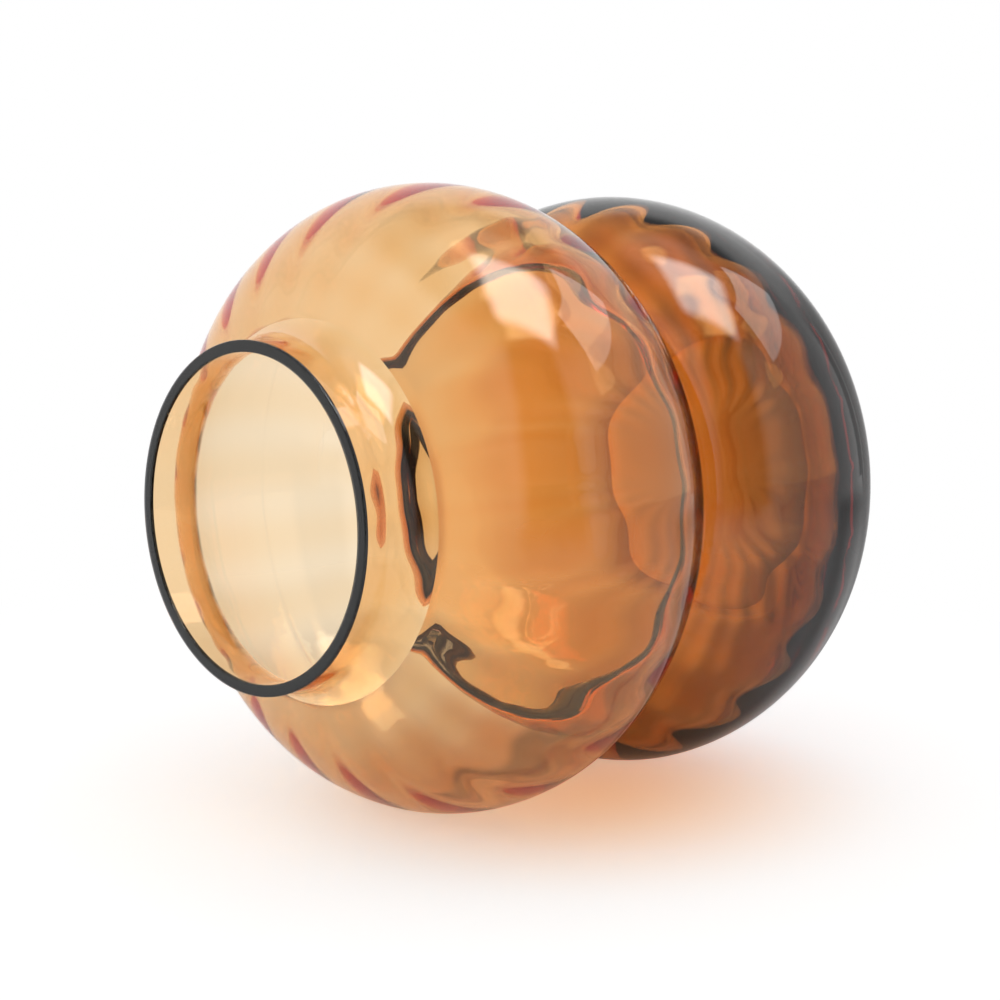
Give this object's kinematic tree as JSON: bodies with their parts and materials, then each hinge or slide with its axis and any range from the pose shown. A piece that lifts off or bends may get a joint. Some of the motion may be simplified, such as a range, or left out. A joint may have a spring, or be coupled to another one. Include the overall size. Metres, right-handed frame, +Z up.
{
  "type": "gourd vase",
  "caption": "Blown-glass gourd vase of amber glass: a thin-walled bulb over one that is heavy below, a tight waist and a short flared neck with a dark rim; it holds water and stems.",
  "frame": {"origin": "centre of the flat ground face under the vase, on the surface that it stands on", "axes": "+Z up along the vase's axis and out of its mouth; X and Y are any two level directions, as the body is round"},
  "size_m": [0.22, 0.22, 0.2433],
  "materials": {
    "amber_glass": "fire-polished, transparent amber that deepens to brown where the wall is thick, with soft optic ribs on the inner face",
    "dark_lip_glass": "fire-polished, nearly opaque charcoal"
  },
  "bodies": {
    "root": {"lower_bulb": "amber_glass", "upper_bulb": "amber_glass", "lip_wrap": "dark_lip_glass"}
  },
  "joints": []
}
